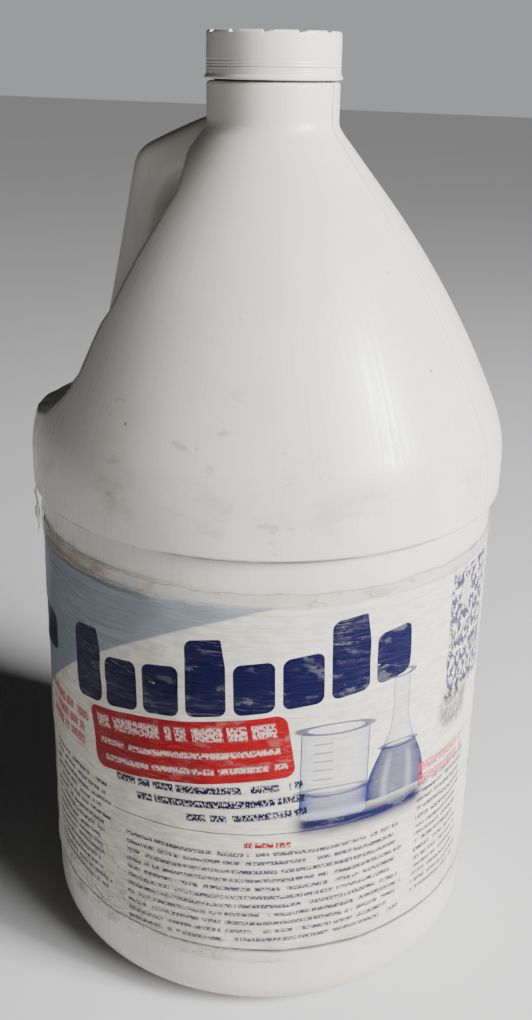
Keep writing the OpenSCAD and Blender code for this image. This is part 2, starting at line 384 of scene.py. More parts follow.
def handle_tube(rings=130, columns=56):
    """Superellipses |u|^3 + |v|^3 = 1 carried from the collar to the bulge.

    u runs from the front line to the back line and v across the jug, and the width grows at
    both ends so that the handle flows into the shell.
    """
    back = smooth_path(HANDLE_BACK, rings)
    front = smooth_path(HANDLE_FRONT, rings)
    share = np.linspace(0, 1, rings)[:, None]
    flare = (1 - ramp(share, 0.0, 0.15)) * 0.1 + ramp(share, 0.72, 0.97)
    width = HANDLE_W + HANDLE_FLARE * flare
    turn = all_round(columns)
    power = 2 / 3
    u = np.sign(np.cos(turn)) * np.abs(np.cos(turn)) ** power
    v = np.sign(np.sin(turn)) * np.abs(np.sin(turn)) ** power
    middle = (back + front) / 2
    reach = (back - front) / 2
    x = middle[:, :1] + reach[:, :1] * u
    z = middle[:, 1:] + reach[:, 1:] * u
    y = width / 2 * v
    return closed_ring_grid(np.stack([x, y, z], axis=-1))


# ---------------------------------------------------------------- cap, liner and band

def cap_outlines():
    """(radius, height) of the cap's top, of its skirt with two grooves, and of its inside."""
    flat_z = CAP_TOP_Z - LOBE_RISE
    inner_edge = CAP_R - LOBE_REACH
    groove = 0.18
    top = np.concatenate([
        run((0.3, flat_z), (inner_edge - 0.05, flat_z), 10),
        run((inner_edge, flat_z + 0.05), (inner_edge + 0.05, CAP_TOP_Z - 0.1), 4),
        run((inner_edge + 0.15, CAP_TOP_Z), (CAP_R - 0.95, CAP_TOP_Z), 5),
        arc((CAP_R - 0.95, CAP_TOP_Z - 0.85), 0.85, 80, 0, 8)])
    skirt = np.concatenate([
        run((CAP_R - 0.1, CAP_TOP_Z - 1.5), (CAP_R - 0.05, CAP_LOW_Z + 2.2), 10),
        [(CAP_R - 0.05, CAP_LOW_Z + 1.8), (CAP_R - groove, CAP_LOW_Z + 1.55),
         (CAP_R, CAP_LOW_Z + 1.35), (CAP_R, CAP_LOW_Z + 1.0),
         (CAP_R - groove, CAP_LOW_Z + 0.75), (CAP_R, CAP_LOW_Z + 0.5)],
        arc((CAP_R - 0.25, CAP_LOW_Z + 0.25), 0.25, 0, -90, 4)])
    inside = np.concatenate([
        run((CAP_R - 0.5, CAP_LOW_Z), (CAP_INNER_R + 0.3, CAP_LOW_Z), 3),
        run((CAP_INNER_R, CAP_LOW_Z + 0.3), (CAP_INNER_R, CAP_INNER_Z - 0.8), 22),
        arc((CAP_INNER_R - 0.4, CAP_INNER_Z - 0.4), 0.4, 0, 90, 4),
        run((CAP_INNER_R - 0.5, CAP_INNER_Z), (0.3, CAP_INNER_Z), 8)])
    return top, skirt, inside


def cap_shape(columns=720):
    """Rings from the middle of the flat top over the lobes, down the skirt and back inside.

    A lobe drops by LOBE_DROP at its steep end and climbs back over LOBE_SLOPE of its span. The
    inside carries the neck's thread, half a pitch higher.
    """
    angle = all_round(columns)
    top, skirt, inside = cap_outlines()
    phase = np.mod(angle - math.radians(LOBE_PHASE), FULL_TURN / LOBES) * LOBES / FULL_TURN
    depth = LOBE_DROP * np.clip(1 - phase / LOBE_SLOPE, 0, 1) * ramp(phase, 0, 0.03)
    radius, height = top[:, :1], top[:, 1:]
    raised = (height - (CAP_TOP_Z - LOBE_RISE)) / LOBE_RISE
    on_lobe = radius > CAP_R - LOBE_REACH - 0.01
    skirt_share = ramp(skirt[:, 1:], CAP_TOP_Z - 3.0, CAP_TOP_Z - 1.4)
    inner_r, inner_z = inside[:, :1], inside[:, 1:]
    on_wall = (inner_r > CAP_INNER_R - 0.1) & (inner_z > CAP_LOW_Z + 0.2)
    thread = np.where(on_wall, thread_lift(inner_z - THREAD_PITCH / 2, angle), 0)
    return closed_ring_grid(np.concatenate([
        revolve(radius, height - depth * raised * on_lobe, angle),
        revolve(skirt[:, :1], skirt[:, 1:] - depth * skirt_share, angle),
        revolve(inner_r - thread, inner_z, angle)]))


def band_shape(columns=240):
    """The tamper band: a flared foot, a plain wall and an inward rib that holds it on the neck."""
    low, high = (corner[2] for corner in box_mm("tamper_band"))
    high += 0.22  # closes the slit under the cap to a hairline
    flared = CAP_R + 0.6
    inner = BEAD_R + 0.3
    rib = BEAD_R - 0.75
    outline = np.concatenate([
        [(rib, low), (CAP_R, low)],
        arc((flared - 0.4, low + 0.4), 0.4, -80, 30, 6),
        arc((flared + 0.35, low + 1.7), 0.95, 215, 180, 5),
        [(CAP_R, low + 2.2), (CAP_R, high - 1.0), (CAP_R - 0.15, high - 0.75), (CAP_R, high - 0.5),
         (CAP_R - 0.05, high - 0.12), (CAP_R - 0.2, high), (inner, high),
         (inner, low + 1.9), (rib, low + 1.3)]])
    return closed_band_grid(revolve(outline[:, :1], outline[:, 1:], all_round(columns)))


def liner_disc(columns=240):
    """A flat disc with a rounded rim, from the middle of its underside to that of its top."""
    low, high = box_mm("cap_liner")
    radius = high[0]
    outline = np.concatenate([
        run((0.3, low[2]), (radius - 0.3, low[2]), 8),
        arc((radius - 0.25, low[2] + 0.25), 0.25, -90, 0, 5),
        arc((radius - 0.25, high[2] - 0.25), 0.25, 0, 90, 5),
        run((radius - 0.6, high[2]), (0.3, high[2]), 8)])
    return closed_ring_grid(revolve(outline[:, :1], outline[:, 1:], all_round(columns)))


# ---------------------------------------------------------------- label and tape

def wrinkle(angle, height):
    """Low ripples that the label and every turn of tape share, from 0 to about 0.4 mm.

    A sum of waves a sin(m angle + n height + phase) with whole m, so it closes on itself.
    """
    rng = np.random.default_rng(7)
    total = np.zeros(np.broadcast(angle, height).shape)
    waves = 26
    for _ in range(waves):
        around = rng.integers(2, 26)
        upward = rng.uniform(-0.55, 0.55)
        phase = rng.uniform(0, FULL_TURN)
        total += rng.uniform(0.4, 1) * np.sin(around * angle + upward * height + phase)
    return 0.4 * ramp(total, -2.5, 5.0)


def skin(low_z, high_z, lift, thickness, torn_low=0.0, torn_high=0.0, columns=360, rows=50):
    """A thin skin round the panel: r = panel radius + lift + wrinkle, on its in and out side.

    torn_low and torn_high are how far its edges wander up and down.
    """
    angle = all_round(columns)
    rng = np.random.default_rng(int(low_z))
    wander = sum(np.sin(waves * angle + rng.uniform(0, FULL_TURN)) / (1 + 0.1 * waves)
                 for waves in (3, 7, 12, 19, 31, 45, 68)) / 4
    share = np.linspace(0, 1, rows)[:, None]
    height = low_z + (high_z - low_z) * share
    height = height + wander * (torn_low * (1 - share) ** 6 - torn_high * share ** 6)
    radius = panel_r(height) + lift + wrinkle(angle, height)
    inner = revolve(radius, height, angle)
    outer = revolve(radius + thickness, height, angle)
    return closed_band_grid(np.concatenate([inner, outer[::-1]]))


def tape_lift(number):
    """How far off the panel a turn of tape starts; each later turn lies over the one before."""
    return 2 * SKIN_GAP + LABEL_T + number * (TAPE_T + SKIN_GAP)


def loose_flap(start, reach, low_z, height, stand_off, curl):
    """A patch of the top turn that has come away.

    It leaves the turn at start, goes back by reach degrees and lifts by stand_off * t^1.3. Two
    waves along it make its ragged edge, and two more its creases.
    """
    rows, columns = 24, 40
    t = np.linspace(0, 1, columns)[None, :]
    s = np.linspace(0, 1, rows)[:, None]
    angle = np.radians(start - reach * t)
    edge = 1.2 * np.sin(9 * t + 1) + 0.7 * np.sin(23 * t)
    z = low_z + height * s + (s - 0.5) * edge - 3 * t * s
    lift = stand_off * t ** 1.3 * (0.75 + 0.25 * np.cos(3.0 * s - curl))
    crease = 0.5 * np.sin(14 * s + 6 * t) * t + 0.3 * np.sin(31 * s - 11 * t) * t
    top_turn = tape_lift(len(TAPE_TURNS) - 1) + TAPE_T
    clear_of_wrinkles = 0.4
    radius = panel_r(z) + top_turn + clear_of_wrinkles + lift + crease
    return thin_sheet(revolve(radius, z, angle), revolve(radius + TAPE_T, z, angle))


# ---------------------------------------------------------------- materials

class Value:
    """A number that varies over a surface, so that shader maths reads as Python."""

    def __init__(self, paint, socket):
        self.paint = paint
        self.socket = socket

    def maths(self, operation, *terms):
        return self.paint.add("ShaderNodeMath", {"operation": operation}, dict(enumerate(terms)))

    def __add__(self, other):
        return self.maths("ADD", self, other)

    def __radd__(self, other):
        return self.maths("ADD", other, self)

    def __sub__(self, other):
        return self.maths("SUBTRACT", self, other)

    def __rsub__(self, other):
        return self.maths("SUBTRACT", other, self)

    def __mul__(self, other):
        return self.maths("MULTIPLY", self, other)

    def __rmul__(self, other):
        return self.maths("MULTIPLY", other, self)

    def __truediv__(self, other):
        return self.maths("DIVIDE", self, other)

    def __pow__(self, other):
        return self.maths("POWER", self, other)

    def __abs__(self):
        return self.maths("ABSOLUTE", self)

    def floor(self):
        return self.maths("FLOOR", self)

    def remainder(self, other):
        return self.maths("FLOORED_MODULO", self, other)

    def lower(self, other):
        return self.maths("MINIMUM", self, other)

    def higher(self, other):
        return self.maths("MAXIMUM", self, other)


class Paint:
    """A material in the making. x, y and z are the shaded point in millimetres."""

    def __init__(self, name):
        self.material = bpy.data.materials.new(name)
        self.material.use_nodes = True
        self.tree = self.material.node_tree
        self.tree.nodes.clear()
        self.place = self.add("ShaderNodeTexCoord", out="Object")
        self.x, self.y, self.z = (
            self.add("ShaderNodeSeparateXYZ", {}, {0: self.place}, axis) * (1 / MM)
            for axis in "XYZ")

    def add(self, kind, settings=None, sockets=None, out=0):
        """Adds a node: its settings first, then the values or links of its sockets."""
        node = self.tree.nodes.new(kind)
        for name, value in (settings or {}).items():
            setattr(node, name, value)
        for key, value in (sockets or {}).items():
            if isinstance(value, Value):
                self.tree.links.new(value.socket, node.inputs[key])
            else:
                node.inputs[key].default_value = value
        return Value(self, node.outputs[out]) if node.outputs else None

    def smooth(self, value, low, high):
        """0 where value is below low, 1 above high, smooth between."""
        return self.add("ShaderNodeMapRange", {"interpolation_type": "SMOOTHSTEP"},
                        {0: value, 1: low, 2: high})

    def between(self, value, low, high, soft):
        """1 between low and high, with edges that are soft wide."""
        return (self.smooth(value, low - soft, low + soft)
                * (1 - self.smooth(value, high - soft, high + soft)))

    def line(self, value, near, far):
        """1 where value is within near of zero and 0 where it is further off than far."""
        return 1 - self.smooth(abs(value), near, far)

    def angle_of(self, x, y):
        """Angle of the point (x, y), in radians."""
        return self.add("ShaderNodeMath", {"operation": "ARCTAN2"}, {0: y, 1: x})

    def vector(self, x, y, z):
        return self.add("ShaderNodeCombineXYZ", {}, {0: x, 1: y, 2: z})

    def noise(self, vector, scale=1.0, detail=2.0, roughness=0.5, distortion=0.0):
        """Fractal noise, mostly between 0.3 and 0.7."""
        return self.add("ShaderNodeTexNoise", {}, {"Vector": vector, "Scale": scale,
                        "Detail": detail, "Roughness": roughness, "Distortion": distortion})

    def patches(self, vector, scale, detail, low, high, roughness=0.5):
        """Islands of 1 in a sea of 0: noise cut between low and high."""
        return self.smooth(self.noise(vector, scale, detail, roughness), low, high)

    def chance(self, number):
        """An unrelated number from 0 to 1 for each whole number."""
        return self.add("ShaderNodeTexWhiteNoise", {"noise_dimensions": "1D"}, {"W": number})

    def specks(self, vector, scale, size):
        """Round dots of radius size, in cells of one over scale."""
        distance = self.add("ShaderNodeTexVoronoi", {}, {"Vector": vector, "Scale": scale})
        return 1 - self.smooth(distance, size * 0.5, size)

    def mix(self, factor, low, high):
        """Colour that goes from low to high with factor."""
        return self.add("ShaderNodeMix", {"data_type": "RGBA"}, {0: factor, 6: low, 7: high}, 2)

    def bump(self, height, distance, strength):
        """Normal tilted by a height that runs from 0 to 1, distance in millimetres."""
        return self.add("ShaderNodeBump", {}, {"Strength": strength, "Distance": distance * MM,
                        "Height": height})

    def principled(self, **sockets):
        return self.add("ShaderNodeBsdfPrincipled", {},
                        {name.replace("_", " "): value for name, value in sockets.items()})

    def surface(self, shader):
        """The finished material, with the shader on its surface."""
        self.add("ShaderNodeOutputMaterial", {}, {"Surface": shader})
        return self.material


def soiled(p, colour, mottle, dirt_and_shade_share):
    """Dirt on the plastic. Gives the colour and how much rougher the dirt makes it.

    It lies where the jug is widest, in small smudges, round the heel and along the step, where it
    is also painted shade.
    """
    stretched = p.vector(p.x * 0.05, p.y * 0.05, p.z * 0.09)
    widest = (p.between(p.z, STEP_Z - 0.5, STEP_Z + 19, 5.0)
              * p.patches(stretched, 1, 5, 0.5, 0.68, 0.65) * 0.36 * dirt_and_shade_share)
    colour = p.mix(widest, colour, srgb(158, 148, 130))
    rubbed = p.vector(p.x * 0.11, p.y * 0.11, p.z * 0.26)
    smudge = (p.patches(rubbed, 1, 4, 0.62, 0.7, 0.6) * p.smooth(mottle, 0.4, 0.55)
              * p.between(p.z, STEP_Z - 5, STEP_Z + 40, 14) * 0.42 * dirt_and_shade_share)
    colour = p.mix(smudge, colour, srgb(122, 110, 92))
    # painted shade in the groove under the step, mixed with dirt in patches
    step = (p.between(p.z, STEP_Z - 2.1, STEP_Z - 0.7, 0.5)
            * (0.3 + 0.6 * p.patches(p.place, 60, 3, 0.32, 0.62)) * dirt_and_shade_share)
    colour = p.mix(step, colour, srgb(92, 82, 70))
    heel = (1 - p.smooth(p.z, 1.0, 7.0)) * p.patches(p.place, 90, 4, 0.45, 0.62) * 0.3
    colour = p.mix(heel, colour, srgb(130, 118, 100))
    return colour, widest * 0.8 + step * 0.3


def scratched(p, colour):
    """Fine level scratches and dark specks, kept only in places. Gives colour and scratches."""
    scored = p.noise(p.vector(p.x * 0.02, p.y * 0.02, p.z * 0.012), 1, 4, 0.7, 2.5)
    scratch = p.line(scored - 0.5, 0.0006, 0.0022) * p.patches(p.place, 34, 2, 0.52, 0.62)
    colour = p.mix(scratch * 0.35, colour, srgb(120, 112, 100))
    dots = p.specks(p.place, 72, 0.055) * p.patches(p.place, 25, 1, 0.44, 0.54)
    return p.mix(dots * 0.6, colour, srgb(88, 74, 62)), scratch


def parted(p, colour, dirt_and_shade_share):
    """The mould's parting line in the plane y = 0. Gives the colour and the line's ridge.

    A dark line, partly painted shade and partly dirt, lies along one side of the ridge: unevenly,
    and most on the collar.
    """
    uneven = p.patches(p.vector(0.0, 0.0, p.z * 0.12), 1, 3, 0.35, 0.6)
    on_collar = 0.3 + 0.7 * p.smooth(p.z, NECK_Z - 17, NECK_Z + 2)
    # painted shade beside the parting ridge, patchy like dirt and partly dirt
    dirt = p.line(p.y - 0.3, 0.12, 0.45) * (0.3 + 0.6 * uneven) * on_collar
    return p.mix(dirt * dirt_and_shade_share, colour, srgb(92, 82, 72)), p.line(p.y, 0.1, 0.6)


def moulded_plastic(name, pale, shade, dirt_and_shade_share):
    """Satin polyethylene: faint mottling, flow streaks, fine grain, scuffs, specks, dirt, and
    painted shade along the step and the parting line.
    """
    p = Paint(name)
    mottle = p.noise(p.place, 22, 3)
    streak = p.noise(p.vector(p.angle_of(p.x, p.y) * 55, p.z * 0.02, 3.0), 1.0, 3)
    grain = p.noise(p.place, 900, 2)
    colour = p.mix(p.smooth(mottle, 0.3, 0.7), pale, shade)
    colour, rough_dirt = soiled(p, colour, mottle, dirt_and_shade_share)
    colour, scratch = scratched(p, colour)
    colour, ridge = parted(p, colour, dirt_and_shade_share)
    height = (grain * 0.25 + streak * 0.12 + mottle * 0.8 - scratch * 0.35
              + ridge * 2.5 * dirt_and_shade_share)
    roughness = (0.2 + 0.08 * p.smooth(mottle, 0.35, 0.65)
                 + 0.16 * p.smooth(streak, 0.35, 0.65) + rough_dirt)
    return p.surface(p.principled(Base_Color=colour, Roughness=roughness, IOR=1.5,
                                  Normal=p.bump(height, 0.16, 0.55)))


def liner_foam():
    """Soft white foam with an open grain and the ring that the rim has pressed into it."""
    p = Paint("liner_foam")
    radius = (p.x * p.x + p.y * p.y) ** 0.5
    pressed = p.between(radius, MOUTH_R + 0.1, FINISH_R, 0.3)
    cells = p.noise(p.place, 1600, 2)
    colour = p.mix(pressed * 0.6, srgb(236, 234, 226), srgb(206, 202, 190))
    colour = p.mix(p.smooth(cells, 0.55, 0.75) * 0.4, colour, srgb(214, 210, 200))
    return p.surface(p.principled(Base_Color=colour, Roughness=0.75 + cells * 0.15,
                                  Normal=p.bump(cells * 0.6 - pressed, 0.12, 0.6)))


# ---------------------------------------------------------------- label

NAVY = srgb(3, 2, 52)
RED = srgb(148, 0, 16)
INK = srgb(16, 16, 62)
GLASS_INK = srgb(30, 32, 84)
GLASS_TINT = srgb(142, 150, 178)
SLAB_PITCH = 14.6
SLABS_LEFT = -67
SLABS_RIGHT = 49.5
SLABS_V = 115.2  # height of the slabs' base line in the middle of the label
SLABS_SLANT = math.radians(9)
BEAKER_U = 22.5
BEAKER_HALF = 11.0
FLASK_U = 44.5
FILM_EDGE_V = 153.6  # height of the tape's torn upper edge


class LabelPaint(Paint):
    """Paint with label coordinates: u along the label from its middle, v the height, in mm."""

    def __init__(self, name):
        super().__init__(name)
        facing = math.radians(LABEL_FACING)
        towards = self.x * math.cos(facing) + self.y * math.sin(facing)
        right = self.y * math.cos(facing) - self.x * math.sin(facing)
        self.u = self.angle_of(towards, right) * LABEL_R
        self.v = self.z
        self.strokes = self.patches(self.stretched(1.5, 0.9, 0.0), 1, 1, 0.38, 0.52)

    def stretched(self, along, up, seed):
        """Place on the label for a noise with that many cells to the millimetre each way."""
        return self.vector(self.u * along, self.v * up, seed)

    def block(self, u, v, middle, size, radius, soft=0.12):
        """A rounded rectangle: distance from a smaller box, less the corner radius."""
        dx = (abs(u - middle[0]) - (size[0] / 2 - radius)).higher(0)
        dy = (abs(v - middle[1]) - (size[1] / 2 - radius)).higher(0)
        far = (dx * dx + dy * dy) ** 0.5
        return 1 - self.smooth(far, radius - soft, radius + soft)

    def ring(self, middle, half, thickness):
        """Outline of an ellipse with the given half width and half height."""
        dx, dy = (self.u - middle[0]) / half[0], (self.v - middle[1]) / half[1]
        off = ((dx * dx + dy * dy) ** 0.5 - 1) * half[1]
        return self.line(off, thickness / 2, thickness)

    def greeked(self, u, v, left, right, top, rows, pitch, weight, seed, ragged, indent=0.0):
        """Rows of dashes that stand for print: word gaps and strokes come from noise.

        The right end of a row wanders by ragged, and its left end moves in by indent * row^2.
        """
        down = (top - v) / pitch
        row = down.floor()
        tall = self.between(down - row, 0.5 - weight / 2, 0.5 + weight / 2, 0.07)
        kept = self.between(down, 0, rows, 0.02)
        from_end = right - self.chance(row + seed) * ragged - u
        from_start = u - left - row * row * indent
        run_of = self.smooth(from_end.lower(from_start), -0.2, 0.2)
        words = self.patches(self.vector(u / 2.6, row * 5.3 + seed, 0.5), 1, 1, 0.35, 0.39)
        return tall * kept * run_of * words * (0.35 + 0.65 * self.strokes)


def pale_field(p, colour):
    """A pale field above a curve that falls away to the left of the label's middle."""
    left = (6.5 - p.u).higher(0)
    edge = 149.8 - 0.23 * left - 0.0032 * left * left
    field = p.smooth(p.v - edge, -0.4, 0.4) * p.smooth(left, 0, 2)
    return p.mix(field * 0.9, colour, srgb(126, 136, 150))


def bold_slabs(p, along, up):
    """A row of bold rounded slabs that lean; every third one is taller."""
    shifted = along - SLABS_LEFT
    number = (shifted / SLAB_PITCH).floor()
    local = shifted - number * SLAB_PITCH - SLAB_PITCH / 2
    tall = 1 - number.remainder(3).lower(1)
    height = 16.5 + 8.5 * tall
    lean = local - (up - 8) * 0.14
    across = (abs(lean) - 3.6).higher(0)
    upward = (abs(up - height / 2) - (height / 2 - 2.6)).higher(0)
    slab = 1 - p.smooth((across * across + upward * upward) ** 0.5, 2.5, 2.7)
    return slab * p.between(along, SLABS_LEFT, SLABS_RIGHT, 0.1)


def beaker(p, colour):
    """A plain straight beaker with a rim, liquid in it and unnumbered ticks."""
    liquid_v = 87.0
    body = p.block(p.u, p.v, (BEAKER_U, 93), (2 * BEAKER_HALF, 32), 2.5)
    side = abs(p.u - BEAKER_U) / BEAKER_HALF
    edge = side ** 4
    colour = p.mix(body * (0.25 + 0.5 * edge), colour, GLASS_TINT)
    filled = body * (1 - p.smooth(p.v, liquid_v - 0.2, liquid_v + 0.2))
    colour = p.mix(filled * (0.6 + 0.4 * edge), colour, srgb(38, 44, 112))
    colour = p.mix(filled * p.between(p.v, 77, 80, 1.4) * 0.5, colour, srgb(205, 208, 220))
    rim = p.ring((BEAKER_U, 108.6), (BEAKER_HALF, 1.7), 0.42)
    level = p.ring((BEAKER_U, liquid_v), (BEAKER_HALF - 0.2, 1.5), 0.4) * 0.8
    lines = (body * p.smooth(side, 0.955, 0.975)).higher(rim).higher(level)
    step = p.v / 3.1
    ticks = (p.between(step - step.floor(), 0.42, 0.6, 0.05) * p.between(p.u, 15.5, 21.5, 0.2)
             * p.between(p.v, 83, 105, 0.2))
    return p.mix(lines.higher(ticks * 0.75) * 0.85, colour, GLASS_INK)


def flask(p, colour):
    """A plain flask that narrows to its neck, with dark liquid that catches the light."""
    liquid_v = 98.0
    half = 11.5 - 8.2 * p.smooth(p.v, 84, 108)
    off = abs(p.u - FLASK_U) / half
    body = (1 - p.smooth(off, 0.97, 1.0)) * p.between(p.v, 80, 122, 0.3)
    edge = off ** 4
    colour = p.mix(body * (0.3 + 0.5 * edge), colour, GLASS_TINT)
    filled = body * (1 - p.smooth(p.v, liquid_v - 0.2, liquid_v + 0.2))
    colour = p.mix(filled * (0.8 + 0.2 * edge), colour, srgb(12, 14, 72))
    shine = filled * p.between(off, 0.35, 0.5, 0.12) * (1 - p.smooth(p.v, 92, 97))
    colour = p.mix(shine * 0.35, colour, srgb(196, 200, 216))
    rim = p.ring((FLASK_U, 122.4), (4.4, 1.1), 0.4)
    level = p.ring((FLASK_U, liquid_v), (6.3, 1.1), 0.35)
    lines = (body * p.smooth(off, 0.9, 0.95)).higher(rim).higher(level)
    return p.mix(lines * 0.85, colour, GLASS_INK)


def bold_print(p, colour):
    """The slanting slabs, the red panel with its pale lines, and the bold lines below it."""
    up_from_base = p.v - SLABS_V
    along = p.u * math.cos(SLABS_SLANT) + up_from_base * math.sin(SLABS_SLANT)
    up = up_from_base * math.cos(SLABS_SLANT) - p.u * math.sin(SLABS_SLANT)
    colour = p.mix(bold_slabs(p, along, up), colour, NAVY)
    panel = p.block(along, up, (-27, -12.2), (68, 21.5), 3.5)
    colour = p.mix(panel, colour, RED)
    large = p.greeked(along, up, -58, 4, -2.4, 1, 7.6, 0.58, 11, 2)
    small = p.greeked(along, up, -58, 5, -10.6, 2, 5.4, 0.34, 17, 2)
    light = large.higher(small) * p.strokes * 0.7 * panel
    colour = p.mix(light, colour, srgb(226, 216, 210))
    bold = p.greeked(along, up + along * 0.03, -53, 9, -23.6, 3, 4.9, 0.55, 29, 1.0, 6.0)
    return p.mix(bold, colour, NAVY)


def small_print(p, colour):
    """A rule and a heading, the columns of small print, and the headings beside them."""
    u, v = p.u, p.v
    rule = p.between(v - 72.6 - u * 0.05, -0.22, 0.22, 0.1) * p.between(u, -50, 84, 0.3)
    colour = p.mix(rule * 0.8, colour, INK)
    heading = p.greeked(u, v, -5, 9.5, 70.2, 1, 3.0, 0.7, 41, 0.5)
    colour = p.mix(heading, colour, RED)
    middle = p.greeked(u, v - u * 0.045, -45, 49, 66.8, 11, 3.3, 0.46, 53, 6)
    left = p.greeked(u, v, -88, -51, 78.0, 14, 3.1, 0.44, 67, 7)
    right = p.greeked(u, v, 54, 84, 80.0, 14, 3.2, 0.48, 79, 6)
    column_pitch = 47.0
    column = (u + 200).remainder(column_pitch)
    rear = (p.greeked(column, v, 3, column_pitch - 3, 143, 34, 3.2, 0.5, 97, 7)
            * p.smooth(abs(u), 96, 96.5))
    colour = p.mix(middle.higher(left).higher(right).higher(rear) * 0.92, colour, INK)
    right_heading = p.greeked(u, v, 54, 84, 86.6, 2, 4.4, 0.75, 89, 3)
    left_heading = p.greeked(u, v, -90, -60, 100, 3, 4.8, 0.7, 83, 5)
    return p.mix(right_heading.higher(left_heading) * 0.85, colour, srgb(182, 34, 68))


def side_marks(p, colour):
    """A dappled panel with one plain dot, a smudge below it, a dark tab and the foot rule."""
    u, v = p.u, p.v
    dapple = p.patches(p.stretched(0.5, 0.33, 9.0), 1, 3, 0.46, 0.5, 0.62)
    side_panel = p.block(u, v, (79, 126), (28, 44), 2, 0.6)
    colour = p.mix(side_panel * dapple * 0.95, colour, srgb(26, 24, 74))
    colour = p.mix(p.block(u, v, (75, 139), (7, 9), 3.4) * 0.8, colour, srgb(205, 202, 198))
    smudge = p.block(u, v, (72, 100), (18, 14), 5, 3) * (0.5 + 0.5 * dapple)
    colour = p.mix(smudge * 0.8, colour, srgb(52, 52, 60))
    colour = p.mix(p.block(u, v, (-90, 118), (15, 13), 3, 0.4) * 0.95, colour, NAVY)
    return p.mix(p.between(v, 27.6, 28.4, 0.1) * 0.8, colour, NAVY)


def printed_label():
    """Cream paper with slabs, a panel, greeked print and glassware, worn and under clear tape.

    The wear is print lifted off in flakes, pale level creases of cracked print with painted glints,
    grime low down and the seam.
    """
    p = LabelPaint("label_paper")
    fibre = p.noise(p.stretched(0.16, 0.5, 0.0), 1, 4)
    colour = p.mix(p.smooth(fibre, 0.3, 0.7), srgb(230, 225, 214), srgb(208, 201, 187))
    colour = pale_field(p, colour)
    pool = p.block(p.u, p.v, (33, 75.5), (46, 8), 3.9, 3.6)
    colour = p.mix(pool, colour, srgb(10, 12, 62))
    for paint in (beaker, flask, bold_print, small_print, side_marks):
        colour = paint(p, colour)

    flake = p.patches(p.stretched(0.13, 0.5, 21.0), 1, 5, 0.69, 0.71, 0.66)
    colour = p.mix(flake * 0.8, colour, srgb(222, 215, 202))
    crease = p.noise(p.stretched(0.045, 0.5, 2.0), 1, 4, 0.6, 0.8)
    # pale crease lines: cracked print with painted glints along the creases
    crease_cracks_and_glints = p.line(crease - 0.5, 0.002, 0.009) * p.patches(
        p.stretched(0.05, 0.06, 14.0), 1, 2, 0.5, 0.62)
    colour = p.mix(crease_cracks_and_glints * 0.16, colour, srgb(236, 232, 224))
    low = (1 - p.smooth(p.v, 24, 50)) * p.patches(p.place, 45, 4, 0.42, 0.66, 0.6)
    colour = p.mix(low * 0.35, colour, srgb(150, 136, 112))
    seam = p.between(abs(p.u), 232.5, 234, 0.2)
    colour = p.mix(seam * 0.5, colour, srgb(170, 160, 142))
    height = crease * 1.1 + fibre * 0.2 + flake * 0.2
    return p.surface(p.principled(
        Base_Color=colour, Roughness=0.5 - 0.12 * fibre + 0.15 * flake,
        Coat_Weight=0.14 - 0.1 * flake, Coat_Roughness=0.08, Specular_IOR_Level=0.1,
        Normal=p.bump(height, 0.8, 0.7)))


def bare_glue(p, seed, bubble):
    """Film above the label, up to its torn edge and browner in patches towards the left.

    Gives how much shows, and how brown it is.
    """
    torn = p.v - 3.2 * (p.noise(p.vector(p.u * 0.09, 0.0, seed), 1, 4, 0.6) - 0.5)
    above = p.between(torn, 149.0, FILM_EDGE_V, 0.5)
    tear = p.line(torn - FILM_EDGE_V, 0.12, 0.4) * 0.4
    # browner in patches towards the left of the label
    left = (1 - p.smooth(p.u, -95, -20)) * p.patches(p.place, 38, 4, 0.36, 0.56, 0.6)
    return above * (0.2 + 0.3 * bubble + 0.35 * left) + tear, above * left * 0.8 + tear


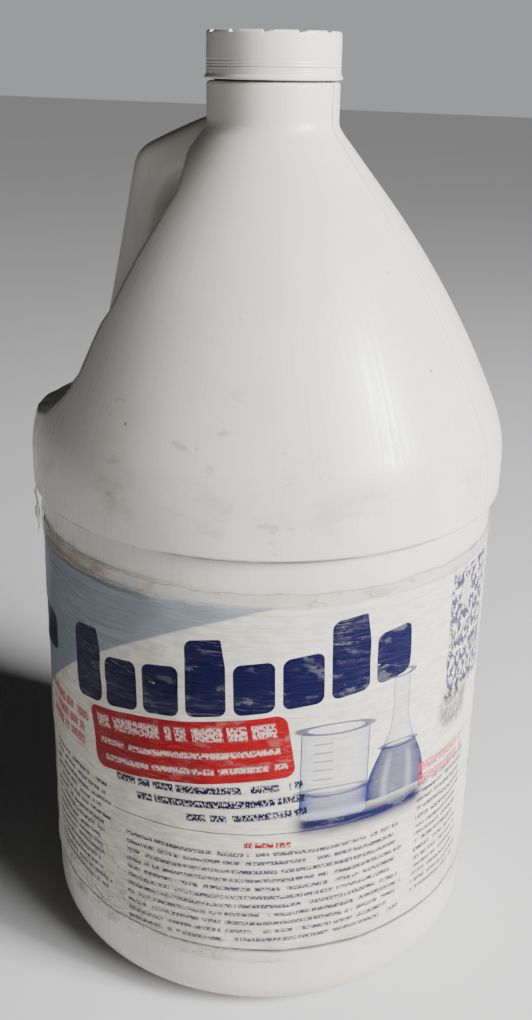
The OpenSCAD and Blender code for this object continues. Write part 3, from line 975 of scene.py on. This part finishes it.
def clear_tape(name, seed):
    """Clear film: nothing but a hazy film, level creases with painted glints, air bubbles and glue,
    soiled low down and browner on the left, can be seen.

    It is crumpled low on the left, with painted glints on its ridges, and hazier where it stands
    off the label.
    """
    p = LabelPaint(name)
    crease = p.noise(p.stretched(0.04, 0.6, seed), 1, 5, 0.62, 0.9)
    # fold lines: milky creases with painted glints
    fold_haze_and_glints = p.line(crease - 0.5, 0.002, 0.009)
    fine = p.noise(p.stretched(0.12, 2.2, seed + 4), 1, 3, 0.6, 0.3)
    bubble = p.patches(p.stretched(0.1, 0.2, seed + 8), 1, 4, 0.57, 0.64, 0.6)
    kept = p.patches(p.stretched(0.03, 0.05, seed + 2), 1, 2, 0.48, 0.64)
    crumpled = p.block(p.u, p.v, (-46, 40), (74, 40), 12, 12)
    bent = p.noise(p.stretched(0.07, 0.11, seed + 6), 1, 3, 0.55, 2.2)
    # painted glints along the crumpled ridges
    ridge = p.line(bent - 0.5, 0.004, 0.022) * crumpled
    # haze plus painted glints on the folds, ridges and crinkles
    haze_and_glints = (fold_haze_and_glints * (kept * 0.07 + crumpled * 0.25) + bubble * 0.04 + ridge * 0.55
            + p.smooth(fine, 0.55, 0.7) * (kept * 0.02 + crumpled * 0.22))
    bare, brown = bare_glue(p, seed, bubble)
    grime = (1 - p.smooth(p.v, 22.5, 27)) * 0.35 * p.patches(p.place, 70, 4, 0.4, 0.65)
    colour = p.mix(bare.higher(grime) * 1.6, srgb(238, 236, 230), srgb(200, 186, 158))
    colour = p.mix(brown, colour, srgb(134, 116, 94))
    height = (crease * 1.3 + fine * (0.35 + crumpled * 1.6) + bubble * 0.4 + ridge * 0.8)
    film = p.principled(Base_Color=colour, Roughness=0.14 + 0.25 * bubble,
                        Normal=p.bump(height, 0.7, 0.8))
    clear = p.add("ShaderNodeBsdfTransparent")
    loose = p.smooth((p.x * p.x + p.y * p.y) ** 0.5, 75.9, 76.6) * 0.35
    factor = (haze_and_glints + bare + grime + loose).lower(0.92)
    return p.surface(p.add("ShaderNodeMixShader", {}, {0: factor, 1: clear, 2: film}))


# ---------------------------------------------------------------- pieces

jug_plastic = moulded_plastic("bottle_plastic", srgb(226, 223, 216), srgb(214, 210, 201), 1.0)
cap_plastic = moulded_plastic("cap_plastic", srgb(228, 224, 220), srgb(218, 213, 208), 0.0)

make_piece("jug_shell", [jug_shell(), handle_tube()], jug_plastic, "jug", "bottle_plastic",
           "bottle")
make_piece("screw_cap", [cap_shape()], cap_plastic, "cap", "cap_plastic", "cap")
make_piece("tamper_ring", [band_shape()], cap_plastic, "band", "cap_plastic", "tamper_band")
make_piece("sealing_disc", [liner_disc()], liner_foam(), "liner", "liner_foam", "cap_liner")

label_low, label_high = (corner[2] for corner in box_mm("label"))
label_skin = skin(label_low, label_high, SKIN_GAP, LABEL_T, torn_low=0.3, torn_high=0.4)
make_piece("wrap_label", [label_skin], printed_label(), "jug", "label_paper", "label")
for number, node in enumerate(TAPE_TURNS):
    low_z, high_z = (corner[2] for corner in box_mm(node))
    on_top = node == TAPE_TURNS[-1]
    parts = [skin(low_z, high_z, tape_lift(number), TAPE_T, torn_low=0.5,
                  torn_high=1.6 if on_top else 0.25)]
    if on_top:
        parts.append(loose_flap(start=222, reach=16, low_z=142, height=20, stand_off=4.2,
                                curl=1.0))
    make_piece(node.replace("tape", "tape_turn"), parts,
               clear_tape(node, 3.0 + 11 * number), "jug", "clear_tape", node)


# ---------------------------------------------------------------- floor, light and camera

def stand(name, data):
    """A new object that holds the data, in the scene."""
    thing = bpy.data.objects.new(name, data)
    bpy.context.scene.collection.objects.link(thing)
    return thing


def plain_floor():
    """A pale matt floor that runs out of sight."""
    side = 6.0
    corners = [(-side, -side, 0), (side, -side, 0), (side, side, 0), (-side, side, 0)]
    mesh = bpy.data.meshes.new("floor")
    mesh.from_pydata(corners, [], [(0, 1, 2, 3)])
    p = Paint("floor")
    tint = p.mix(p.noise(p.place, 3, 2), srgb(218, 218, 218), srgb(214, 214, 215))
    mesh.materials.append(p.surface(p.principled(Base_Color=tint, Roughness=0.9,
                                                 Specular_IOR_Level=0.0)))
    stand("floor", mesh)


def backdrop(seen, lit):
    """A pale backdrop, seen at one strength, that lights the jug at another."""
    world = bpy.data.worlds.new("studio")
    world.use_nodes = True
    nodes, links = world.node_tree.nodes, world.node_tree.links
    background = nodes["Background"]
    background.inputs["Color"].default_value = srgb(205, 206, 208)
    path = nodes.new("ShaderNodeLightPath")
    strength = nodes.new("ShaderNodeMapRange")
    strength.inputs["To Min"].default_value = lit
    strength.inputs["To Max"].default_value = seen
    links.new(path.outputs["Is Camera Ray"], strength.inputs["Value"])
    links.new(strength.outputs["Result"], background.inputs["Strength"])
    bpy.context.scene.world = world


def wide_sun(direction, degrees, strength):
    """A sun that comes from the direction and is as many degrees wide."""
    data = bpy.data.lights.new("wide_sun", "SUN")
    data.energy = strength
    data.angle = math.radians(degrees)
    sun = stand("wide_sun", data)
    sun.rotation_euler = Vector(direction).to_track_quat("Z", "Y").to_euler()


def softbox(name, place, size, power):
    """A soft rectangular light at place that faces the middle of the jug."""
    data = bpy.data.lights.new(name, "AREA")
    data.shape = "RECTANGLE"
    data.size, data.size_y = size
    data.energy = power
    lamp = stand(name, data)
    lamp.location = place
    middle = Vector((0, 0, 0.15))
    lamp.rotation_euler = (middle - Vector(place)).to_track_quat("-Z", "Y").to_euler()
    lamp.visible_camera = False


def camera():
    """Stands at azimuth 30 degrees, looks down and is turned a little about its own axis."""
    azimuth, down, tilt = math.radians(30), math.radians(22.2), math.radians(1.0)
    distance, height = 0.3502, 0.2913
    away = Vector((math.sin(azimuth), -math.cos(azimuth), 0))
    forward = -away * math.cos(down) - Vector((0, 0, math.sin(down)))
    level = forward.cross(Vector((0, 0, 1))).normalized()
    upright = level.cross(forward)
    right = level * math.cos(tilt) + upright * math.sin(tilt)
    above = upright * math.cos(tilt) - level * math.sin(tilt)
    data = bpy.data.cameras.new("camera")
    data.lens = 39.3
    data.clip_start, data.clip_end = 0.01, 50
    eye = stand("camera", data)
    turn = Matrix((right, above, -forward)).transposed()
    eye.matrix_world = Matrix.Translation(away * distance + Vector((0, 0, height))) @ turn.to_4x4()
    bpy.context.scene.camera = eye


plain_floor()
backdrop(seen=0.6, lit=0.03)
wide_sun((0.9, -0.11, 0.43), degrees=26, strength=2.2)
softbox("right_box", (0.8, -0.12, 0.6), (0.4, 0.8), 4)
softbox("window", (0.92, 0.05, 0.62), (0.26, 0.42), 24)
camera()
